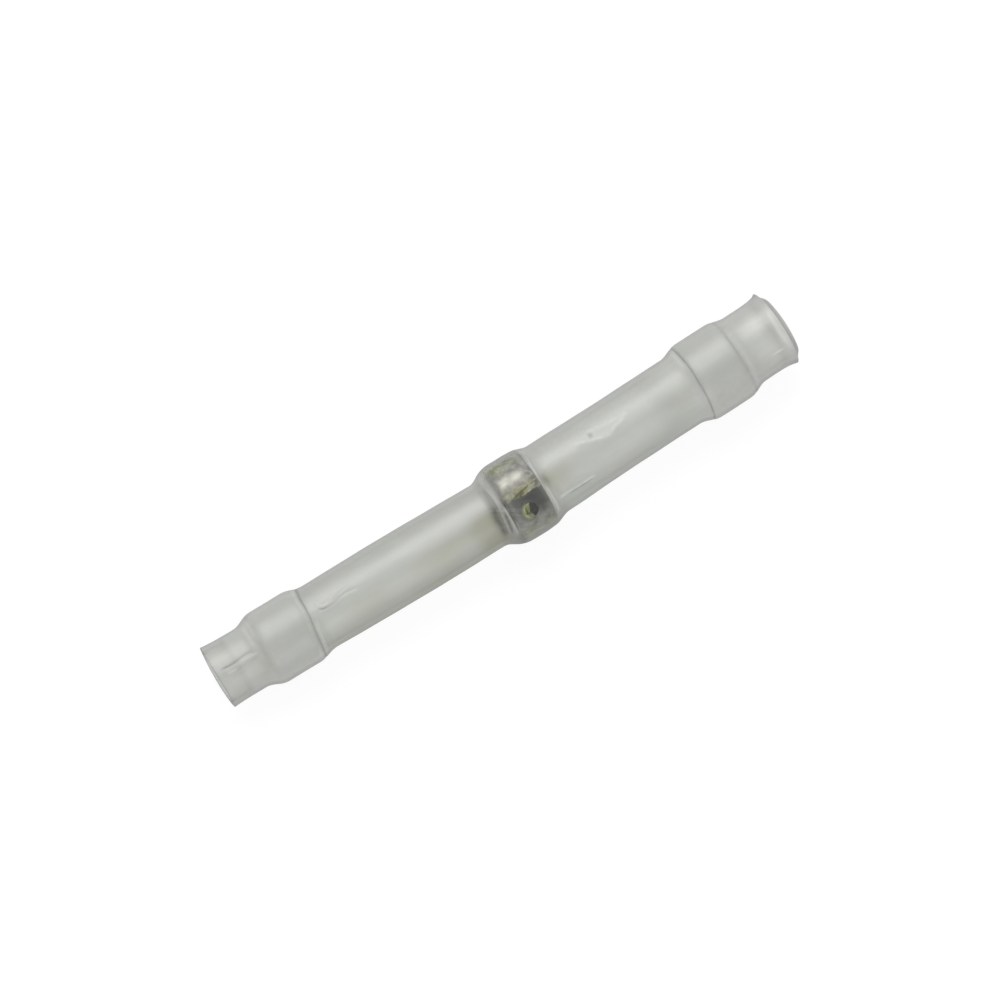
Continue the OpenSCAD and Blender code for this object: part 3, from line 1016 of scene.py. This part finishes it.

# Painted highlight in a bright band on top, dull metal beside it, and painted shade below the crust
HIGHLIGHT_SECTOR, HIGHLIGHT_SPAN, HIGHLIGHT_BY_WARP = (-27, -9, 10), (-0.05, 1.78, 0.7), (0.25, 0.6, 0.55, 1)
highlight_band = product(
    tree, in_sector(tree, rough_turn, *HIGHLIGHT_SECTOR), between(tree, px, *HIGHLIGHT_SPAN),
    ease(tree, warp, *HIGHLIGHT_BY_WARP),
)
colour = mix_colour(tree, highlight_band, SOLDER_DULL, SOLDER_HIGHLIGHT)
# Painted shade below the crust, turning black towards the ring's right end
shade = plus(tree, ease_mm(tree, px, -0.3, 1.9), sway, WARP_SHADE, clamp=True)
shaded = mix_colour(tree, shade, SOLDER_DARK, SOLDER_BLACK)
colour = mix_colour(tree, ease_turn(tree, rough_turn, 8.5, 12), colour, shaded)
# The painted shade turns grey low down on the ring
colour = mix_colour(tree, ease_turn(tree, rough_turn, 34, 60), colour, SOLDER_GREY)

# Crust of dried flux, with a dark seam through it
CRUST_LEAN, SEAM_LEAN = -0.028, 0.075
SEAM_GRIT, SEAM_AT, SEAM_WIDTH = 0.16, 0.275, (0.042, 0.016)
SEAM_SPAN, SEAM_SHARE = (0.2, 1.7, 0.5), 0.85
low_edge = plus(tree, rough_turn, px, CRUST_LEAN / MM)
crust = product(
    tree, ease_turn(tree, rough_turn, -10, 4), ease_turn(tree, low_edge, 11, 8.5),
)
olive = ease(tree, noise(tree, where, *FLAKE_PATCHES), 0.38, 0.60)
flakes = mix_colour(tree, olive, CRUST_PALE, CRUST_OLIVE)
specks = ease(tree, noise(tree, where, *FLAKE_SPECKS), 0.56, 0.66)
flakes = mix_colour(tree, specks, flakes, CRUST_DARK)
seam = plus(tree, plus(tree, turn, grit, SEAM_GRIT), px, SEAM_LEAN / MM)
seam = calc(tree, "ABSOLUTE", calc(tree, "SUBTRACT", seam, SEAM_AT))
seam = product(tree, ease(tree, seam, *SEAM_WIDTH), between(tree, px, *SEAM_SPAN), SEAM_SHARE)
flakes = mix_colour(tree, seam, flakes, CRUST_DARK)
colour = mix_colour(tree, crust, colour, flakes)

# Green stain on the top and underside, dark specks at the right end, and spots all over
STAIN_BY_PATCH, SPECK_SECTOR, SPECK_SPAN = (0.36, 0.6, 0.25, 1.0), (-20, 14, 8), (1.95, 2.5, 0.3)
stain_top = product(
    tree, ease_turn(tree, rough_turn, -26, -46), ease_mm(tree, px, 2.0, 1.0, 0.2, 1.0),
)
stained = calc(tree, "MAXIMUM", stain_top, ease_turn(tree, rough_turn, 48, 76))
stained = product(
    tree, stained, ease(tree, noise(tree, where, *STAIN_PATCHES), *STAIN_BY_PATCH),
)
colour = mix_colour(tree, stained, colour, STAIN_GREEN)
specks = product(
    tree, in_sector(tree, turn, *SPECK_SECTOR), between(tree, px, *SPECK_SPAN),
    ease(tree, grit, 0.42, 0.52, 0.15, 0.7),
)
colour = mix_colour(tree, specks, colour, SOLDER_DARK)
clouds = ease(tree, noise(tree, where, *CLOUD), 0.30, 0.72, 0.62, 1.34)
spots = product(tree, clouds, ease(tree, grit, 0.3, 0.7, 1.12, 0.88))
spots = plus(tree, 1.0, calc(tree, "SUBTRACT", spots, 1.0), plus(tree, 1.0, highlight_band, -0.8))
colour = mix_colour(tree, 1.0, colour, spots, "MULTIPLY")

# Sight hole, with flux on its left and low sides, and painted shade on its right and in the bore
HOLE_SOFT, HOLE_RIM, HOLE_RIM_SHARE = 0.06, 0.24, 0.75
off_x = calc(tree, "SUBTRACT", px, HOLE_X * MM)
off_side = plus(tree, product(tree, pz, math.sin(HOLE_TURN)), py, math.cos(HOLE_TURN))
from_hole = reach(tree, off_x, off_side)
in_hole = ease_mm(tree, from_hole, HOLE_R + HOLE_SOFT, HOLE_R)
hole_rim = product(
    tree, ease_mm(tree, from_hole, HOLE_R + HOLE_RIM, HOLE_R),
    ease_mm(tree, off_x, 0.0, -0.35), HOLE_RIM_SHARE,
)
colour = mix_colour(tree, hole_rim, colour, FLUX_DEEP)
dross = ease(tree, noise(tree, where, *DROSS), 0.40, 0.58)
hole_flux = mix_colour(tree, dross, FLUX_LIGHT, FLUX_DEEP)
low_side = ease_mm(tree, off_side, -0.14, -0.36, 0.0, 0.65)
hole_flux = mix_colour(tree, low_side, hole_flux, STAIN_GREEN)
hole_shade = ease_mm(tree, plus(tree, off_x, warp, 0.2 * MM), 0.08, 0.18)
colour = mix_colour(tree, in_hole, colour, mix_colour(tree, hole_shade, hole_flux, BORE_SHADE))
in_bore = ease_mm(tree, reach(tree, py, pz), SOLDER_BORE_R + 0.30, SOLDER_BORE_R + 0.10)
in_bore = product(tree, in_bore, calc(tree, "SUBTRACT", 1.0, in_hole))
colour = mix_colour(tree, in_bore, colour, BORE_SHADE)
body = node(
    tree, "ShaderNodeBsdfPrincipled", Base_Color=colour,
    Normal=relief_of(tree, noise(tree, where, *SOLDER_GRAIN), RELIEF_STRENGTH, SOLDER_RELIEF),
    Metallic=plus(tree, 0.1, highlight_band, 0.75), Roughness=plus(tree, 0.62, highlight_band, -0.24),
)
tree.links.new(body.outputs[0], out.inputs[0])
dress(solder, solder_material, "solder", "solder_ring")


# Flux film: a thin layer of yellow-green flux inside the left part of the solder ring, seen in
# the left half of the sight hole. It sticks to the ring's bore.
FLUX_R, FLUX_FILM = 2.025, 0.08
FLUX_FROM, FLUX_TO = -0.15, 1.05
FLUX_ROUND = 0.02
FLUX_SLICES = 10
FLUX_RUN_OUT, FLUX_SCALLOP, FLUX_SWELL = 0.08, 0.2, 0.012
FLUX_GRAIN, DEEP_BY_GRAIN, FLUX_RELIEF = (2600, 4), (0.38, 0.60), 0.00003
FLUX_SHADE = (0.050, 0.050, 0.030, 1)
SHADOW_LINE_SPAN, SHADOW_LINE_WANDER, SHADOW_LINE_SHARE = (0.86, 0.95, 0.07), 0.12, 0.80
UNSHADED_SECTOR = (28.5, 76, 6)

flux = make_ring(
    "flux", FLUX_FROM, FLUX_TO,
    lambda x, turn: FLUX_R + 0 * turn,
    lambda x, turn: FLUX_R - FLUX_FILM + FLUX_SWELL * np.sin(8 * turn + 3 * x),
    FLUX_ROUND, FLUX_SLICES, even_turns,
    lambda turn: FLUX_RUN_OUT + FLUX_SCALLOP * np.sin(3 * (HOLE_TURN - turn)),
)
flux_material, tree, out = new_material("dried_flux")
where, px, py, pz = place_on(tree)
grain = noise(tree, where, *FLUX_GRAIN)
colour = mix_colour(tree, ease(tree, grain, *DEEP_BY_GRAIN), FLUX_LIGHT, FLUX_DEEP)
# Painted shadow line across the film, and painted shade on all of it but what the hole shows
wandering = plus(tree, px, grain, SHADOW_LINE_WANDER * MM)
shadow_line = product(tree, between(tree, wandering, *SHADOW_LINE_SPAN), SHADOW_LINE_SHARE)
colour = mix_colour(tree, shadow_line, colour, FLUX_SHADE)
unshaded = in_sector(tree, turn_of(tree, py, pz), *UNSHADED_SECTOR)
body = node(
    tree, "ShaderNodeBsdfPrincipled", Roughness=0.35, Normal=relief_of(tree, grain, 0.3, FLUX_RELIEF),
    Base_Color=mix_colour(tree, unshaded, FLUX_SHADE, colour),
)
tree.links.new(body.outputs[0], out.inputs[0])
dress(flux, flux_material, "flux", "flux_lining")


# Floor and light: a white table under one broad soft box above and behind the sleeve, an even
# white room, and a weak fill from the front. The floor shows white to the eye and keeps a shadow.
FLOOR_HALF = 3.0
FLOOR_PAINT = 0.80
FLOOR_SEEN_PAINT = 0.10
FLOOR_GLOW = 0.912
ROOM_LIGHT = 0.54
WHITE, BLACK = (1, 1, 1, 1), (0, 0, 0, 1)

floor_z = float(cad_box[0][2])
corners = ((-1, -1), (1, -1), (1, 1), (-1, 1))
floor_points = [(FLOOR_HALF * a, FLOOR_HALF * b, floor_z) for a, b in corners]
floor_mesh = bpy.data.meshes.new("floor")
floor_mesh.from_pydata(floor_points, [], [(0, 1, 2, 3)])
floor = bpy.data.objects.new("floor", floor_mesh)
bpy.context.scene.collection.objects.link(floor)
floor_material, tree, out = new_material("white_table")
path = tree.nodes.new("ShaderNodeLightPath")
seen = calc(tree, "MAXIMUM", path.outputs["Is Camera Ray"], path.outputs["Is Glossy Ray"])
seen = calc(tree, "MAXIMUM", seen, path.outputs["Is Transmission Ray"])
shade = plus(tree, FLOOR_PAINT, seen, FLOOR_SEEN_PAINT - FLOOR_PAINT)
paint = node(tree, "ShaderNodeBsdfDiffuse", Color=mix_colour(tree, shade, BLACK, WHITE))
strength = product(tree, seen, FLOOR_GLOW)
glow = node(tree, "ShaderNodeEmission", Color=WHITE, Strength=strength)
both = node(tree, "ShaderNodeAddShader", i0=paint.outputs[0], i1=glow.outputs[0])
tree.links.new(both.outputs[0], out.inputs[0])
floor_mesh.materials.append(floor_material)

# Name, direction from the sleeve, distance, size, power
LAMPS = (
    ("key", (0.12, 0.555, 0.823), 0.40, (0.30, 0.34), 1.10),
    ("fill", (-0.2, -0.80, 0.45), 0.60, (0.50, 0.50), 1.40),
)
for name, way, distance, size, power in LAMPS:
    lamp_data = bpy.data.lights.new(name, "AREA")
    lamp_data.shape = "RECTANGLE"
    lamp_data.size, lamp_data.size_y = size
    lamp_data.energy = power
    lamp = bpy.data.objects.new(name, lamp_data)
    bpy.context.scene.collection.objects.link(lamp)
    way = Vector(way).normalized()
    lamp.location = way * distance
    lamp.rotation_euler = way.to_track_quat("Z", "X").to_euler()

world = bpy.data.worlds.new("white_room")
bpy.context.scene.world = world
world.use_nodes = True
tree = world.node_tree
tree.nodes.clear()
out = tree.nodes.new("ShaderNodeOutputWorld")
path = tree.nodes.new("ShaderNodeLightPath")
strength = plus(tree, ROOM_LIGHT, path.outputs["Is Camera Ray"], 1.0 - ROOM_LIGHT)
room = node(tree, "ShaderNodeBackground", Color=WHITE, Strength=strength)
tree.links.new(room.outputs[0], out.inputs[0])

bpy.context.scene.view_settings.view_transform = "Standard"
